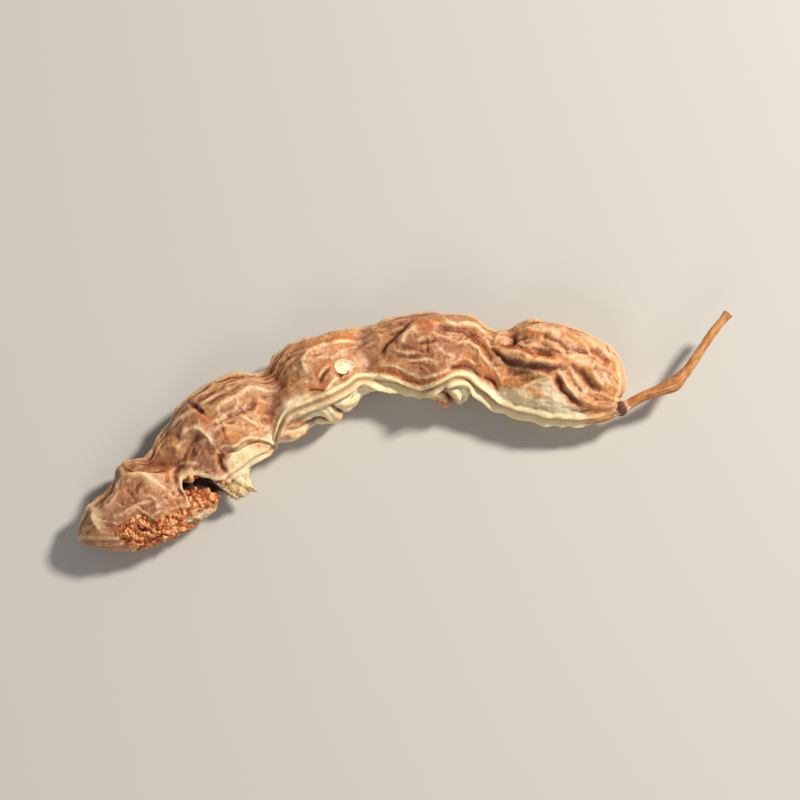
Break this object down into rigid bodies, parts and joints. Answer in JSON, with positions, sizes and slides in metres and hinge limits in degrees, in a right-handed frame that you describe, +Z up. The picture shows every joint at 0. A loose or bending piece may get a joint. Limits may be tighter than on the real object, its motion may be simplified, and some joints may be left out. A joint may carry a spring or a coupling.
{
  "type": "japanese pagoda tree pod",
  "caption": "Dried, beaded seed pod lying in an arch, with a wavy double seam along its inner edge, wrinkled skin, one torn side and the stalk it hung from.",
  "frame": {"origin": "centre of the bounding box in plan, on the surface that the pod lies on", "axes": "+Z up, +X along the pod from its tip to its stalk, +Y towards the outer side of the arch"},
  "size_m": [0.0738, 0.0182, 0.0072],
  "materials": {
    "pod_skin": "dull waxy, reddish tan with cream seams"
  },
  "bodies": {
    "root": {"pod": "pod_skin"}
  },
  "joints": []
}
